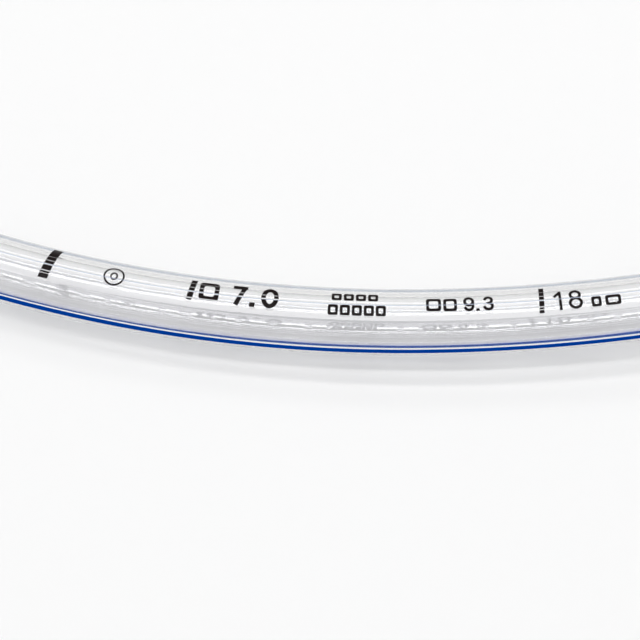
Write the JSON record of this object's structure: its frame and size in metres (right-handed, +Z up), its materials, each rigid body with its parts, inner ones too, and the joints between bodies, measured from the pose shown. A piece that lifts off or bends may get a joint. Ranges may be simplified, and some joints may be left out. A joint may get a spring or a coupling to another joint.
{
  "type": "endotracheal tube",
  "caption": "Clear curved breathing tube with a bevelled tip and side eye, a blue radiopaque stripe, printed depth marks and a push-fitted 15 mm connector.",
  "frame": {"origin": "on the bench, under the middle of the part's box as it lies on its side", "axes": "+X towards the connector and along its axis seen from above, +Y towards the inside of the tube's curve, +Z up"},
  "size_m": [0.2914, 0.1128, 0.0172],
  "materials": {
    "clear_plastic": "clear, glossy, soft",
    "blue_stripe": "solid blue in the clear wall",
    "connector_plastic": "translucent natural moulding, satin",
    "black_ink": "printed ink"
  },
  "bodies": {
    "root": {"tube_shaft": "clear_plastic", "radiopaque_stripe": "blue_stripe", "connector": "connector_plastic", "printed_marks": "black_ink"}
  },
  "joints": []
}
